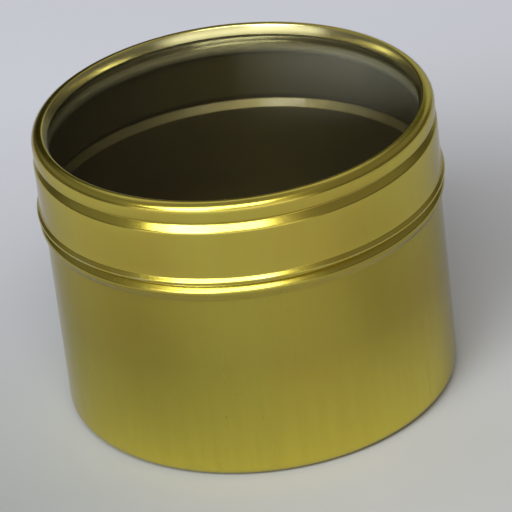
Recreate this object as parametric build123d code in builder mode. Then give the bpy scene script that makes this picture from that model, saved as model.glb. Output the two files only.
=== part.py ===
from build123d import *
import os

os.makedirs("parts", exist_ok=True)

# Round slip-lid tin with a clear window in its lid.
# Origin: centre of the foot ring, on the surface that the tin stands on. +Z is up.
# Every outline below is half of a section, drawn as radius and height. The pressed sheets
# are drawn along the middle of their thickness and thickened evenly to both sides.

# Sheet and window stock
body_sheet = 0.25
lid_sheet = 0.25
window_thickness = 1.0

# Fits between the pieces
slip_clearance = 0.3        # lid skirt around the neck of the body
window_clearance = 0.12     # window below the lip that keeps it down
window_edge_clearance = 0.3

# Body: a cup drawn in one piece, stiffened by an outward bead
lid_diameter = 64.0         # outside of the lid's skirt
body_wall_step = 0.45       # wall of the body stands this far inside the lid's skirt
foot_corner_radius = 2.0
foot_ring_inset = 3.3       # foot ring's inner edge, in from the outside of the wall
base_recess = 1.0
base_recess_slope = 1.4     # run of the sloping edge of the recessed base
base_recess_radius = 0.6
bead_bottom = 31.95         # height of the straight wall below the bead
bead_lower_rise = 1.3       # height of the bead's lower side
bead_crest_height = 0.42
bead_upper_rise = 0.83      # height of the bead's upper side, up to the neck
bead_proud = 0.28           # crest of the bead, out past the lid's skirt
bead_root_radius = 0.5
bead_crest_radius = 0.48
neck_root_radius = 0.35
neck_height = 9.75          # from the top of the bead to the top of the curl at the mouth
mouth_curl_diameter = 1.8
mouth_curl_land = 0.05      # flat left between the rounded corners of the curl
mouth_curl_return = 1.25    # length of the sheet's edge that is tucked under the curl

# Lid: a pressed ring with a hem, a shoulder, a groove and a standing rim. Its shoulder comes
# down over the curl at the mouth.
hem_over_bead = 0.65        # hem's lower edge, above the top of the bead
hem_proud = 0.5             # hem's crest, out past the skirt
hem_height = 0.93
hem_side = 0.3              # upright part of the hem, below its slope
hem_lap = 0.66              # sheet's edge, turned in under the hem
hem_bottom_radius = 0.16
hem_top_radius = 0.2
hem_root_radius = 0.45
groove_over_mouth = 0.95    # groove, above the curl at the mouth
shoulder_rise = 1.35        # from the top of the skirt up to the groove
shoulder_radius = 0.75
groove_depth = 1.1
groove_radius = 0.36
rim_step = 0.14             # standing rim, in from the skirt
rim_flank_rise = 0.42
rim_foot_radius = 0.35
rim_band_height = 2.98      # outer side of the standing rim, up to the top of the tin
rim_width = 1.94            # across the rolled top of the rim
rim_outer_roll = 1.54       # radius of the rolled top's outer half
rim_inner_roll = 0.35       # radius of its inner half, past a narrow level land
lip_lean = 0.55             # run of the lip, which slopes in and down from the rolled top
window_over_groove = 0.6

# Shared places, worked out from the sizes above
lid_radius = lid_diameter / 2
skirt_middle = lid_radius - lid_sheet / 2
neck_middle = lid_radius - lid_sheet - slip_clearance - body_sheet / 2
wall_middle = lid_radius - body_wall_step - body_sheet / 2
bead_middle = lid_radius + bead_proud - body_sheet / 2
hem_middle = lid_radius + hem_proud - lid_sheet / 2
bead_crest_bottom = bead_bottom + bead_lower_rise
bead_crest_top = bead_crest_bottom + bead_crest_height
bead_top = bead_crest_top + bead_upper_rise
mouth_height = bead_top + neck_height

# Body
recess_radius = lid_radius - body_wall_step - foot_ring_inset
foot_middle = body_sheet / 2
recess_middle = base_recess + body_sheet / 2
curl_outer = neck_middle
curl_inner = neck_middle - mouth_curl_diameter + body_sheet
curl_top = mouth_height - body_sheet / 2
curl_bottom = mouth_height - mouth_curl_diameter + body_sheet / 2
curl_corner_radius = (mouth_curl_diameter - body_sheet - mouth_curl_land) / 2

body_points = [
    (0, recess_middle),
    (recess_radius - base_recess_slope, recess_middle),
    (recess_radius, foot_middle),
    (wall_middle, foot_middle),
    (wall_middle, bead_bottom),
    (bead_middle, bead_crest_bottom),
    (bead_middle, bead_crest_top),
    (neck_middle, bead_top),
    (curl_outer, curl_top),
    (curl_inner, curl_top),
    (curl_inner, curl_bottom),
    (curl_inner + mouth_curl_return, curl_bottom),
]
body_radii = [
    base_recess_radius,
    base_recess_radius,
    foot_corner_radius - body_sheet / 2,
    bead_root_radius,
    bead_crest_radius,
    bead_crest_radius,
    neck_root_radius,
    curl_corner_radius,
    curl_corner_radius,
    curl_corner_radius,
]

with BuildPart() as tin_body:
    with BuildSketch(Plane.XZ):
        with BuildLine():
            FilletPolyline(*body_points, radius=body_radii)
        trace(line_width=body_sheet)
    revolve(axis=Axis.Z)
tin_body.part.label = "tin_body"

# Lid ring
hem_bottom = bead_top + hem_over_bead + lid_sheet / 2
hem_slope_bottom = hem_bottom + hem_side
hem_top = bead_top + hem_over_bead + hem_height
groove_height = mouth_height + groove_over_mouth
groove_middle = skirt_middle - groove_depth
shoulder_height = groove_height - shoulder_rise
rim_foot_height = groove_height + rim_flank_rise
rim_outer = skirt_middle - rim_step
rim_inner = rim_outer - rim_width + lid_sheet
rim_top = rim_foot_height + rim_band_height - lid_sheet / 2
outer_roll_radius = rim_outer_roll - lid_sheet / 2
inner_roll_radius = rim_inner_roll - lid_sheet / 2
window_bottom = groove_height + window_over_groove
lip_height = window_bottom + window_thickness + window_clearance + lid_sheet / 2

lid_points = [
    (hem_middle - hem_lap, hem_bottom),
    (hem_middle, hem_bottom),
    (hem_middle, hem_slope_bottom),
    (skirt_middle, hem_top),
    (skirt_middle, shoulder_height),
    (groove_middle, groove_height),
    (rim_outer, rim_foot_height),
    (rim_outer, rim_top),
    (rim_inner, rim_top),
    (rim_inner - lip_lean, lip_height),
]
lid_radii = [
    hem_bottom_radius,
    hem_top_radius,
    hem_root_radius,
    shoulder_radius,
    groove_radius,
    rim_foot_radius,
    outer_roll_radius,
    inner_roll_radius,
]

with BuildPart() as lid_ring:
    with BuildSketch(Plane.XZ):
        with BuildLine():
            FilletPolyline(*lid_points, radius=lid_radii)
        trace(line_width=lid_sheet)
    revolve(axis=Axis.Z)
lid_ring.part.label = "lid_ring"

# Window: a flat clear disc, trapped between the inside of the groove and the lip of the rim
window_radius = rim_outer - lid_sheet / 2 - window_edge_clearance

with BuildPart() as window_disc:
    with BuildSketch(Plane.XY.offset(window_bottom)):
        Circle(window_radius)
    extrude(amount=window_thickness)
window_disc.part.label = "window_disc"

export_step(tin_body.part, "parts/tin_body.step")
export_step(lid_ring.part, "parts/lid_ring.step")
export_step(window_disc.part, "parts/window_disc.step")
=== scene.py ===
import math

import bpy
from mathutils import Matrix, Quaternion, Vector


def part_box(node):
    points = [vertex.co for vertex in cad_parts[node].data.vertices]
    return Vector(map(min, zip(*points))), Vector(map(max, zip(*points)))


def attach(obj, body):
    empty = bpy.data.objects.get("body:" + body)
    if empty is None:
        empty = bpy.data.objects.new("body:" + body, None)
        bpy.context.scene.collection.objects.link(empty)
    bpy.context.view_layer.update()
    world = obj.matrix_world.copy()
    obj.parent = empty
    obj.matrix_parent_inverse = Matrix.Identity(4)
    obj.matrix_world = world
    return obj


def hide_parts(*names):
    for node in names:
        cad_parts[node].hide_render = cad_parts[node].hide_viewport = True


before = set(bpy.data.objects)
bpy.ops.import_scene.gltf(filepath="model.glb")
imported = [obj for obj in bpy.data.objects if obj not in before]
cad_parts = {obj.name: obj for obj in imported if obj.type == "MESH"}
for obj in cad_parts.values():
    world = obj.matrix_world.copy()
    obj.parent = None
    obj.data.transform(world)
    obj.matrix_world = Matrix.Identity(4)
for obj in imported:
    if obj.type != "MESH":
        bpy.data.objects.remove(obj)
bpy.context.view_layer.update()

# All lengths are in metres. The tin's axis is Z, and Z is 0 where it stands.
MM = 0.001

# Places read from the frame
_, BODY_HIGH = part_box("tin_body")
RING_LOW, RING_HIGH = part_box("lid_ring")
DISC_LOW, DISC_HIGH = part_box("window_disc")

# Sheet and clearances
SHEET = 0.25 * MM
SLIP_CLEARANCE = 0.3 * MM       # lid's skirt around the neck
WINDOW_CLEARANCE = 0.12 * MM    # end of the lip above the window

# Body
WALL_STEP = 0.45 * MM           # wall, in from the lid's skirt
FOOT_CORNER = 2.0 * MM
FOOT_INSET = 3.3 * MM
BASE_RECESS = 1.0 * MM
BASE_SLOPE = 1.4 * MM
BASE_ROUND = 0.6 * MM
BEAD_BOTTOM = 31.95 * MM
BEAD_LOWER_RISE = 1.3 * MM
BEAD_CREST = 0.42 * MM
BEAD_UPPER_RISE = 0.83 * MM
BEAD_PROUD = 0.28 * MM
BEAD_ROOT_ROUND = 0.5 * MM
BEAD_CREST_ROUND = 0.48 * MM
NECK_ROOT_ROUND = 0.35 * MM
CURL_DIAMETER = 1.8 * MM
CURL_RETURN = 1.25 * MM

# Lid
HEM_PROUD = 0.5 * MM            # crest of the hem, out past the lid's skirt
HEM_HEIGHT = 0.93 * MM
HEM_SIDE = 0.3 * MM
HEM_LAP = 0.66 * MM
HEM_BOTTOM_ROUND = 0.16 * MM
HEM_TOP_ROUND = 0.2 * MM
HEM_ROOT_ROUND = 0.45 * MM
GROOVE_OVER_MOUTH = 0.95 * MM
GROOVE_DEPTH = 1.1 * MM
GROOVE_ROUND = 0.36 * MM
SHOULDER_RISE = 1.35 * MM
SHOULDER_ROUND = 0.75 * MM
RIM_STEP = 0.14 * MM
RIM_FLANK = 0.42 * MM
RIM_FOOT_ROUND = 0.35 * MM
RIM_WIDTH = 1.94 * MM
RIM_OUTER_ROLL = 1.54 * MM
RIM_INNER_ROLL = 0.35 * MM
LIP_LEAN = 0.55 * MM
WINDOW_EDGE = 0.05 * MM         # break of the window's sharp edges

# Fineness of the meshes
AROUND = 288                    # faces round each lathed piece
ARC_STEP = math.radians(9)
LONGEST_FACE = 1.5 * MM
CUT_EDGE_STEPS = 6
SAME_PLACE = 1e-7

# Lacquer: each pair is the main colour and the warmer one of its patches
BODY_COLOURS = ((0.46, 0.39, 0.047), (0.46, 0.36, 0.042))
LID_COLOURS = ((0.56, 0.475, 0.063), (0.56, 0.43, 0.054))
# Inside of the tin: lacquer, darkened further as painted shade of the tin's inside
INSIDE_LACQUER_AND_SHADE_COLOURS = ((0.133, 0.108, 0.038), (0.124, 0.099, 0.034))
# Painted shade: the mouth curl and the lid's inside are near black, keeping highlights off them
CURL_SHADE_COLOURS = ((0.085, 0.076, 0.035), (0.08, 0.066, 0.03))
# Painted highlight: a paler colour on the lid's lip, so its highlight looks nearly white
LIP_PAINTED_HIGHLIGHT = (0.64, 0.58, 0.26)
RUBBED_TIN = (0.66, 0.6, 0.36)
SPECULAR_TINT = (0.6, 0.57, 0.45, 1)
COAT_IOR = 1.5
COAT_ROUGHNESS = 0.1
RELIEF_STRENGTH = 0.2
RELIEF_HEIGHT = 0.004 * MM
# Painted reflection of the lit floor near the tin: paler toward the foot
FOOT_PAINTED_REFLECTION = 1.55               # times the main colour, at the foot
DARKER_STREAK = 0.82            # times the main colour
DARK_SPECK = 0.45               # times the warmer colour

# Window
CLEAR_COLOUR = (0.97, 0.98, 0.96, 1)
DUST_COLOUR = (0.5, 0.48, 0.42, 1)
PLASTIC_IOR = 1.5
DUST_SPACING = 7 * MM

# Floor: painted tones of light and shade, and the distances over which they change
FLOOR_HALF = 1.6
PLAIN_FLOOR = (0.53, 0.53, 0.53)
# Painted shade, darker to the tin's near left
LEFT_FLOOR_SHADE = (0.365, 0.375, 0.385)
# Painted shade near the tin
NEAR_FLOOR_SHADE = (0.49, 0.485, 0.485)
# Painted shadow of the tin, on both sides of it
SIDE_FLOOR_SHADOW = (0.385, 0.375, 0.36)
# Painted light, paler and bluer far off
FAR_FLOOR_LIGHT = (0.645, 0.65, 0.71)
LEFT_TO_NEAR = (-0.045, 0.015)
NEAR_TO_SIDE = (0.04, 0.065)
SIDE_TO_PLAIN = (0.065, 0.11)
FRONT_TO_NEAR = (-0.09, -0.045)
NEAR_TO_FAR = (-0.03, 0.11)

# Room
HORIZON = (0.15, 0.14, 0.135)
DIM_WALLS = (0.02, 0.018, 0.015)
HORIZON_TO_WALLS = (0.08, 0.25)

# Each patch of the room: its colour, then axes of the direction, where it fades and how
HIGH_ROOM = ((0.3, 0.3, 0.295), (("Z", 0.7, 0.9, 0, 1),))
FRONT_ROOM = ((0.26, 0.25, 0.22), (("Y", -0.45, -0.15, 1, 0), ("Z", 0.15, 0.35, 0, 1)))
LEFT_ROOM = ((0.24, 0.24, 0.23), (("X", -0.6, -0.35, 1, 0), ("Z", 0.15, 0.35, 0, 1)))
RIGHT_ROOM = ((0.24, 0.23, 0.21), (("X", 0.35, 0.6, 0, 1), ("Z", 0.15, 0.35, 0, 1)))
CEILING_PATCH = ((0.8, 0.8, 0.78), (("Z", 0.55, 0.78, 0, 1), ("Z", 0.86, 0.92, 1, 0),
                                    ("X", -0.5, -0.25, 0, 1), ("X", 0.2, 0.45, 1, 0)))
FRONT_PATCH = ((0.95, 0.93, 0.85), (("Y", -0.7, -0.4, 1, 0), ("Z", 0.05, 0.5, 0.2, 1),
                                    ("Z", 0.56, 0.62, 1, 0), ("X", -0.6, -0.4, 0, 1),
                                    ("X", 0.35, 0.5, 1, 0)))
LOW_FRONT_PATCH = ((1.5, 1.52, 1.6), (("Y", -0.55, -0.4, 1, 0), ("Z", -0.02, 0.12, 0, 1),
                                      ("Z", 0.24, 0.34, 1, 0), ("X", -0.97, -0.85, 0, 1),
                                      ("X", 0.45, 0.65, 1, 0)))
MIRRORED_PATCH = ((0.52, 0.53, 0.44), (("Z", 0.44, 0.456, 1, 0), ("X", 0, 0.032, 0, 1),
                                       ("X", 0.5, 0.7, 1, 0), ("Y", 0.1, 0.4, 0, 1)))
PALE_PATCHES = (HIGH_ROOM, FRONT_ROOM, LEFT_ROOM, RIGHT_ROOM, CEILING_PATCH, FRONT_PATCH,
                LOW_FRONT_PATCH, MIRRORED_PATCH)

# Camera
CAMERA_PLACE = (0, -0.56107, 0.33089)
CAMERA_AIM = (0.00104, 0, 0.0218)
CAMERA_ROLL = math.radians(-6.96)
SENSOR_WIDTH = 36
FOCAL_LENGTH = 281.25
CLIP_NEAR = 0.01
CLIP_FAR = 10

# Middles of the sheets, as radii, shared by body and lid
lid_radius = RING_HIGH.x - HEM_PROUD
skirt = lid_radius - SHEET / 2
neck = lid_radius - SHEET - SLIP_CLEARANCE - SHEET / 2
wall = lid_radius - WALL_STEP - SHEET / 2
bead = lid_radius + BEAD_PROUD - SHEET / 2
hem = RING_HIGH.x - SHEET / 2


def rounded_line(points, radii):
    """Points along a line through the corners, each rounded by its radius: (place, side) pairs."""
    corners = [Vector(p) for p in points]
    line = []

    def straight(start, end, side):
        steps = max(1, math.ceil((end - start).length / LONGEST_FACE))
        for i in range(steps + 1):
            line.append((start.lerp(end, i / steps), side))

    start = corners[0]
    for before, corner, after, radius in zip(corners, corners[1:], corners[2:], radii):
        into = (corner - before).normalized()
        out = (after - corner).normalized()
        turn = into.angle_signed(out) * -1
        reach = radius * math.tan(abs(turn) / 2)
        arc_start = corner - into * reach
        side = Vector((-into.y, into.x))
        straight(start, arc_start, side)
        centre = arc_start + side * math.copysign(radius, turn)
        steps = max(2, math.ceil(abs(turn) / ARC_STEP))
        for i in range(1, steps):
            angle = turn * i / steps
            turned = Vector((side.x * math.cos(angle) - side.y * math.sin(angle),
                             side.x * math.sin(angle) + side.y * math.cos(angle)))
            line.append((centre - turned * math.copysign(radius, turn), turned))
        start = corner + out * reach
    last = (corners[-1] - start).normalized()
    straight(start, corners[-1], Vector((-last.y, last.x)))
    return [pair for i, pair in enumerate(line)
            if i == 0 or (pair[0] - line[i - 1][0]).length > SAME_PLACE]


def sheet_section(points, radii, from_axis):
    """Closed section of a sheet that follows the points, with round edges where it is cut.

    Also gives the number of its points that lie on the inner side of the sheet.
    """
    line = rounded_line(points, radii)
    left = [place + side * SHEET / 2 for place, side in line]
    right = [place - side * SHEET / 2 for place, side in line]

    def cut_edge(place, side, way):
        edge = []
        for i in range(1, CUT_EDGE_STEPS):
            angle = math.pi * i / CUT_EDGE_STEPS
            edge.append(place + (side * math.cos(angle) + way * math.sin(angle)) * SHEET / 2)
        return edge

    end, end_side = line[-1]
    section = left + cut_edge(end, end_side, Vector((end_side.y, -end_side.x)))
    section += list(reversed(right))
    if not from_axis:
        first, first_side = line[0]
        section += cut_edge(first, -first_side, Vector((-first_side.y, first_side.x)))
    return section, len(left)


def lathe(name, section, spans=(), smooth=True):
    """Solid of revolution about Z from a closed section of (radius, height).

    Faces before the first place in spans take the second material, those before the second
    place the third, and all others the first.
    """
    vertices = []
    rings = []
    for radius, height in section:
        if radius < SAME_PLACE:
            rings.append([len(vertices)] * AROUND)
            vertices.append((0, 0, height))
            continue
        rings.append(range(len(vertices), len(vertices) + AROUND))
        for i in range(AROUND):
            angle = math.tau * i / AROUND
            vertices.append((radius * math.cos(angle), radius * math.sin(angle), height))
    faces = []
    finishes = []
    for k, ring in enumerate(rings):
        following = rings[(k + 1) % len(rings)]
        if ring[0] == ring[1] and following[0] == following[1]:
            continue
        finish = next((i + 1 for i, end in enumerate(spans) if k + 1 < end), 0)
        for i in range(AROUND):
            j = (i + 1) % AROUND
            corners = dict.fromkeys((ring[i], following[i], following[j], ring[j]))
            faces.append(tuple(corners))
            finishes.append(finish)
    mesh = bpy.data.meshes.new(name)
    mesh.from_pydata(vertices, [], faces)
    mesh.validate()
    mesh.polygons.foreach_set("use_smooth", [smooth] * len(mesh.polygons))
    mesh.polygons.foreach_set("material_index", finishes)
    mesh.update()
    piece = bpy.data.objects.new(name, mesh)
    bpy.context.scene.collection.objects.link(piece)
    return piece


# Tin body
bead_low = BEAD_BOTTOM + BEAD_LOWER_RISE
bead_high = bead_low + BEAD_CREST
bead_top = bead_high + BEAD_UPPER_RISE
mouth = BODY_HIGH.z
recess = lid_radius - WALL_STEP - FOOT_INSET
curl_radius = (CURL_DIAMETER - SHEET) / 2
curl_in = neck - 2 * curl_radius
curl_top = mouth - SHEET / 2
curl_low = mouth - CURL_DIAMETER + SHEET / 2

body_section, body_inner = sheet_section(
    [
        (0, BASE_RECESS + SHEET / 2),
        (recess - BASE_SLOPE, BASE_RECESS + SHEET / 2),
        (recess, SHEET / 2),
        (wall, SHEET / 2),
        (wall, BEAD_BOTTOM),
        (bead, bead_low),
        (bead, bead_high),
        (neck, bead_top),
        (neck, curl_top),
        (curl_in, curl_top),
        (curl_in, curl_low),
        (curl_in + CURL_RETURN, curl_low),
    ],
    [BASE_ROUND, BASE_ROUND, FOOT_CORNER - SHEET / 2, BEAD_ROOT_ROUND, BEAD_CREST_ROUND,
     BEAD_CREST_ROUND, NECK_ROOT_ROUND, curl_radius, curl_radius, curl_radius],
    from_axis=True,
)
beyond_curl = next(i for i, place in enumerate(body_section[body_inner:]) if place.x > neck)
tin = lathe("tin_shell", body_section, (body_inner, body_inner + beyond_curl))
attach(tin, "tin")
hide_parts("tin_body")

# Lid ring
hem_low = RING_LOW.z + SHEET / 2
hem_high = RING_LOW.z + HEM_HEIGHT
groove_height = mouth + GROOVE_OVER_MOUTH
rim_outer = skirt - RIM_STEP
rim_inner = rim_outer - RIM_WIDTH + SHEET
rim_top = RING_HIGH.z - SHEET / 2

ring_section, ring_inner = sheet_section(
    [
        (hem - HEM_LAP, hem_low),
        (hem, hem_low),
        (hem, hem_low + HEM_SIDE),
        (skirt, hem_high),
        (skirt, groove_height - SHOULDER_RISE),
        (skirt - GROOVE_DEPTH, groove_height),
        (rim_outer, groove_height + RIM_FLANK),
        (rim_outer, rim_top),
        (rim_inner, rim_top),
        (rim_inner - LIP_LEAN, DISC_HIGH.z + WINDOW_CLEARANCE + SHEET / 2),
    ],
    [HEM_BOTTOM_ROUND, HEM_TOP_ROUND, HEM_ROOT_ROUND, SHOULDER_ROUND, GROOVE_ROUND,
     RIM_FOOT_ROUND, RIM_OUTER_ROLL - SHEET / 2, RIM_INNER_ROLL - SHEET / 2],
    from_axis=False,
)
ring = lathe("lid_rim", ring_section, (ring_inner,))
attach(ring, "lid")
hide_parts("lid_ring")

# Window
disc_radius = DISC_HIGH.x
disc_section = [
    (0, DISC_HIGH.z),
    (disc_radius - WINDOW_EDGE, DISC_HIGH.z),
    (disc_radius, DISC_HIGH.z - WINDOW_EDGE),
    (disc_radius, DISC_LOW.z + WINDOW_EDGE),
    (disc_radius - WINDOW_EDGE, DISC_LOW.z),
    (0, DISC_LOW.z),
]
pane = lathe("clear_window", disc_section, smooth=False)
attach(pane, "window")
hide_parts("window_disc")


def new_material(name):
    material = bpy.data.materials.new(name)
    material.use_nodes = True
    nodes = material.node_tree.nodes
    nodes.clear()
    return material, nodes, material.node_tree.links


def noise(nodes, links, coordinates, stretch, size, detail, roughness=0.5):
    """Noise whose features measure about size metres, longer along an axis of small stretch."""
    mapping = nodes.new("ShaderNodeMapping")
    mapping.inputs["Scale"].default_value = stretch
    links.new(coordinates, mapping.inputs["Vector"])
    texture = nodes.new("ShaderNodeTexNoise")
    texture.inputs["Scale"].default_value = 1 / size
    texture.inputs["Detail"].default_value = detail
    texture.inputs["Roughness"].default_value = roughness
    links.new(mapping.outputs["Vector"], texture.inputs["Vector"])
    return texture.outputs["Fac"]


def spread(nodes, links, value, low, high, to_low=0.0, to_high=1.0):
    """Value spread from the range low to high onto another range."""
    node = nodes.new("ShaderNodeMapRange")
    node.inputs["From Min"].default_value = low
    node.inputs["From Max"].default_value = high
    node.inputs["To Min"].default_value = to_low
    node.inputs["To Max"].default_value = to_high
    links.new(value, node.inputs["Value"])
    return node.outputs["Result"]


def combine(nodes, links, operation, first, second):
    """Result of a math operation on two values."""
    node = nodes.new("ShaderNodeMath")
    node.operation = operation
    links.new(first, node.inputs[0])
    links.new(second, node.inputs[1])
    return node.outputs["Value"]


def blend(nodes, links, factor, first, second):
    """Blend of two colours, each a colour or a socket."""
    node = nodes.new("ShaderNodeMix")
    node.data_type = "RGBA"
    links.new(factor, node.inputs["Factor"])
    for name, colour in (("A", first), ("B", second)):
        socket = [i for i in node.inputs if i.name == name and i.type == "RGBA"][0]
        if isinstance(colour, tuple):
            socket.default_value = (*colour, 1)
        else:
            links.new(colour, socket)
    return [o for o in node.outputs if o.type == "RGBA"][0]


def scaled(colour, factor):
    return tuple(factor * c for c in colour)


def lacquered_tinplate(name, colours, roughness, metallic=1, coat=0.6, lip_highlight=None):
    """Gold lacquer over tinplate: streaks of the drawing, patches, specks and rubbed crests.

    The colour is paler toward the foot, a painted reflection of the lit floor, and paler on the
    lip, a painted highlight, if a colour is given for it.
    """
    colour, warm = colours
    material, nodes, links = new_material(name)
    output = nodes.new("ShaderNodeOutputMaterial")
    shader = nodes.new("ShaderNodeBsdfPrincipled")
    links.new(shader.outputs["BSDF"], output.inputs["Surface"])
    shader.inputs["Metallic"].default_value = metallic
    shader.inputs["Coat Weight"].default_value = coat
    shader.inputs["Coat IOR"].default_value = COAT_IOR
    shader.inputs["Specular Tint"].default_value = SPECULAR_TINT
    shader.inputs["Coat Roughness"].default_value = COAT_ROUGHNESS

    place = nodes.new("ShaderNodeTexCoord").outputs["Object"]
    patches = noise(nodes, links, place, (1, 1, 0.5), size=22 * MM, detail=3, roughness=0.6)
    streaks = noise(nodes, links, place, (1, 1, 0.12), size=1.6 * MM, detail=5, roughness=0.7)
    grain = noise(nodes, links, place, (1, 1, 0.6), size=0.16 * MM, detail=2)
    specks = noise(nodes, links, place, (1, 1, 1), size=0.45 * MM, detail=1)
    rub_patches = noise(nodes, links, place, (1, 1, 1), size=6 * MM, detail=3)

    # Distance from the tin's axis
    split = nodes.new("ShaderNodeSeparateXYZ")
    flat = nodes.new("ShaderNodeCombineXYZ")
    links.new(place, split.inputs["Vector"])
    links.new(split.outputs["X"], flat.inputs["X"])
    links.new(split.outputs["Y"], flat.inputs["Y"])
    radius = nodes.new("ShaderNodeVectorMath")
    radius.operation = "LENGTH"
    links.new(flat.outputs["Vector"], radius.inputs[0])

    # Only what stands out past the skirt is rubbed.
    crest = spread(nodes, links, radius.outputs["Value"],
                   lid_radius + 0.5 * HEM_PROUD, lid_radius + HEM_PROUD)
    rub = combine(nodes, links, "MULTIPLY", crest,
                  spread(nodes, links, rub_patches, 0.45, 0.7, to_high=0.55))

    tone = blend(nodes, links, spread(nodes, links, patches, 0.38, 0.64), colour, warm)
    # Painted reflection: paler toward the foot, where the wall mirrors the lit floor near the tin
    tone = blend(nodes, links,
                 spread(nodes, links, split.outputs["Z"], 1.5 * MM, 20 * MM, 1, 0),
                 tone, scaled(colour, FOOT_PAINTED_REFLECTION))
    tone = blend(nodes, links, spread(nodes, links, streaks, 0.4, 0.75, to_high=0.25),
                 tone, scaled(colour, DARKER_STREAK))
    tone = blend(nodes, links, spread(nodes, links, specks, 0.77, 0.82, to_high=0.7),
                 tone, scaled(warm, DARK_SPECK))
    tone = blend(nodes, links, rub, tone, RUBBED_TIN)
    # Painted highlight on the lip: a paler colour blended in toward the rim's inner edge
    if lip_highlight:
        lip = spread(nodes, links, radius.outputs["Value"],
                     rim_inner + 0.1 * MM, rim_inner - 0.2 * MM)
        tone = blend(nodes, links, lip, tone, lip_highlight)
    links.new(tone, shader.inputs["Base Color"])

    gloss = spread(nodes, links, streaks, 0.3, 0.7, roughness - 0.03, roughness + 0.04)
    links.new(gloss, shader.inputs["Roughness"])

    relief = combine(nodes, links, "ADD",
                     spread(nodes, links, streaks, 0, 1, to_high=0.6),
                     spread(nodes, links, grain, 0, 1, to_high=0.4))
    bump = nodes.new("ShaderNodeBump")
    bump.inputs["Strength"].default_value = RELIEF_STRENGTH
    bump.inputs["Distance"].default_value = RELIEF_HEIGHT
    links.new(relief, bump.inputs["Height"])
    links.new(bump.outputs["Normal"], shader.inputs["Normal"])
    return material


def clear_plastic():
    """Clear sheet with a few grains of dust and faint scuffs."""
    material, nodes, links = new_material("clear_plastic")
    output = nodes.new("ShaderNodeOutputMaterial")
    shader = nodes.new("ShaderNodeBsdfPrincipled")
    shader.inputs["Base Color"].default_value = CLEAR_COLOUR
    shader.inputs["IOR"].default_value = PLASTIC_IOR
    shader.inputs["Transmission Weight"].default_value = 1
    place = nodes.new("ShaderNodeTexCoord").outputs["Object"]
    scuffs = noise(nodes, links, place, (1, 0.12, 1), size=0.5 * MM, detail=3)
    links.new(spread(nodes, links, scuffs, 0.45, 0.75, 0.012, 0.03), shader.inputs["Roughness"])

    # Shadows pass through, so light gets into the tin.
    passing = nodes.new("ShaderNodeBsdfTransparent")
    rays = nodes.new("ShaderNodeLightPath")
    clear = nodes.new("ShaderNodeMixShader")
    links.new(rays.outputs["Is Shadow Ray"], clear.inputs["Fac"])
    links.new(shader.outputs["BSDF"], clear.inputs[1])
    links.new(passing.outputs["BSDF"], clear.inputs[2])

    dust = nodes.new("ShaderNodeBsdfDiffuse")
    dust.inputs["Color"].default_value = DUST_COLOUR
    grains = nodes.new("ShaderNodeTexVoronoi")
    grains.inputs["Scale"].default_value = 1 / DUST_SPACING
    links.new(place, grains.inputs["Vector"])
    dusty = nodes.new("ShaderNodeMixShader")
    links.new(spread(nodes, links, grains.outputs["Distance"], 0.012, 0.02, 0.5, 0),
              dusty.inputs["Fac"])
    links.new(clear.outputs["Shader"], dusty.inputs[1])
    links.new(dust.outputs["BSDF"], dusty.inputs[2])
    links.new(dusty.outputs["Shader"], output.inputs["Surface"])
    return material


def pale_floor():
    """Plain matt floor with painted shade near the tin and to its left, a painted shadow beside it
    and painted light far off.
    """
    material, nodes, links = new_material("pale_floor")
    output = nodes.new("ShaderNodeOutputMaterial")
    diffuse = nodes.new("ShaderNodeBsdfDiffuse")
    along = nodes.new("ShaderNodeSeparateXYZ")
    links.new(nodes.new("ShaderNodeTexCoord").outputs["Object"], along.inputs["Vector"])
    aside = nodes.new("ShaderNodeMath")
    aside.operation = "ABSOLUTE"
    links.new(along.outputs["X"], aside.inputs[0])
    tone = blend(nodes, links, spread(nodes, links, along.outputs["X"], *LEFT_TO_NEAR),
                 LEFT_FLOOR_SHADE, NEAR_FLOOR_SHADE)
    tone = blend(nodes, links, spread(nodes, links, aside.outputs["Value"], *NEAR_TO_SIDE),
                 tone, SIDE_FLOOR_SHADOW)
    tone = blend(nodes, links, spread(nodes, links, aside.outputs["Value"], *SIDE_TO_PLAIN),
                 tone, PLAIN_FLOOR)
    tone = blend(nodes, links, spread(nodes, links, along.outputs["Y"], *FRONT_TO_NEAR),
                 PLAIN_FLOOR, tone)
    tone = blend(nodes, links, spread(nodes, links, along.outputs["Y"], *NEAR_TO_FAR),
                 tone, FAR_FLOOR_LIGHT)
    links.new(tone, diffuse.inputs["Color"])
    links.new(diffuse.outputs["BSDF"], output.inputs["Surface"])
    return material


def area_light(name, width, height, energy, colour, location, aim):
    """Soft rectangular light at the location, which faces the aim."""
    data = bpy.data.lights.new(name, "AREA")
    data.shape = "RECTANGLE"
    data.size = width
    data.size_y = height
    data.energy = energy
    data.color = colour
    light = bpy.data.objects.new(name, data)
    light.location = location
    light.rotation_mode = "QUATERNION"
    light.rotation_quaternion = (Vector(aim) - Vector(location)).to_track_quat("-Z", "Y")
    bpy.context.scene.collection.objects.link(light)


def soft_room():
    """World by direction: a dim room with soft pale patches."""
    world = bpy.data.worlds.new("room")
    world.use_nodes = True
    nodes = world.node_tree.nodes
    links = world.node_tree.links
    background = nodes["Background"]
    axes = nodes.new("ShaderNodeSeparateXYZ")
    links.new(nodes.new("ShaderNodeTexCoord").outputs["Generated"], axes.inputs["Vector"])
    room = blend(nodes, links, spread(nodes, links, axes.outputs["Z"], *HORIZON_TO_WALLS),
                 HORIZON, DIM_WALLS)
    for colour, sides in PALE_PATCHES:
        patch = None
        for axis, *fade in sides:
            side = spread(nodes, links, axes.outputs[axis], *fade)
            patch = combine(nodes, links, "MULTIPLY", patch, side) if patch else side
        room = blend(nodes, links, patch, room, colour)
    links.new(room, background.inputs["Color"])
    return world
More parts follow.
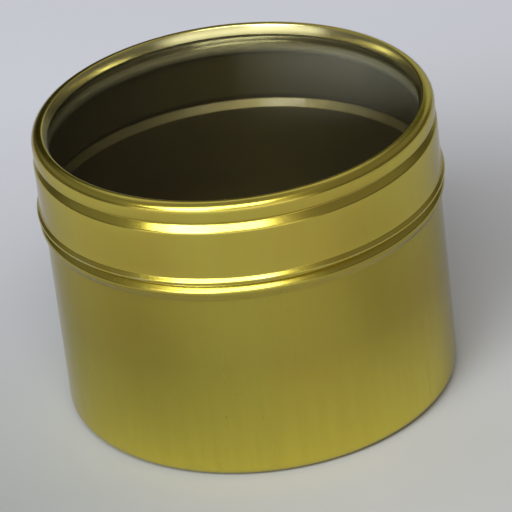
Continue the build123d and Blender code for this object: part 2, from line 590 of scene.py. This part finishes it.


# Finishes, in the order of each piece's faces: outside, inside, and on the tin the curl
# Painted shade in part: the inside finish is darker than the outside lacquer
inside_finish = lacquered_tinplate("inside_lacquer_and_shade", INSIDE_LACQUER_AND_SHADE_COLOURS, 0.48)
# Painted shade: near-black finish for the curl and the lid's inside
curl_shade_finish = lacquered_tinplate("curl_painted_shade", CURL_SHADE_COLOURS, 0.65, metallic=0.6, coat=0)
tin.data.materials.append(lacquered_tinplate("body_lacquer", BODY_COLOURS, 0.24))
tin.data.materials.append(inside_finish)
tin.data.materials.append(curl_shade_finish)
ring.data.materials.append(lacquered_tinplate("lid_lacquer", LID_COLOURS, 0.2,
                                              lip_highlight=LIP_PAINTED_HIGHLIGHT))
ring.data.materials.append(curl_shade_finish)
pane.data.materials.append(clear_plastic())

# Floor
floor_mesh = bpy.data.meshes.new("floor")
floor_mesh.from_pydata(
    [(-FLOOR_HALF, -FLOOR_HALF, 0), (FLOOR_HALF, -FLOOR_HALF, 0),
     (FLOOR_HALF, FLOOR_HALF, 0), (-FLOOR_HALF, FLOOR_HALF, 0)],
    [], [(0, 1, 2, 3)])
floor = bpy.data.objects.new("floor", floor_mesh)
bpy.context.scene.collection.objects.link(floor)
floor_mesh.materials.append(pale_floor())

# Light
area_light("key", width=1.9, height=0.95, energy=36, colour=(0.98, 1, 1),
           location=(-0.6, -1.22, 1.44), aim=(-0.6, -1.22, 0))
area_light("low_key", width=0.5, height=0.5, energy=5, colour=(0.86, 0.93, 1),
           location=(-0.55, -0.9, 0.66), aim=(0, 0, 0))
bpy.context.scene.world = soft_room()

# Camera
camera_data = bpy.data.cameras.new("camera")
camera_data.sensor_width = SENSOR_WIDTH
camera_data.lens = FOCAL_LENGTH
camera_data.clip_start = CLIP_NEAR
camera_data.clip_end = CLIP_FAR
camera = bpy.data.objects.new("camera", camera_data)
bpy.context.scene.collection.objects.link(camera)
camera.location = CAMERA_PLACE
camera.rotation_mode = "QUATERNION"
level = (Vector(CAMERA_AIM) - camera.location).to_track_quat("-Z", "Y")
camera.rotation_quaternion = level @ Quaternion((0, 0, 1), CAMERA_ROLL)
bpy.context.scene.camera = camera

bpy.context.scene.view_settings.view_transform = "Standard"
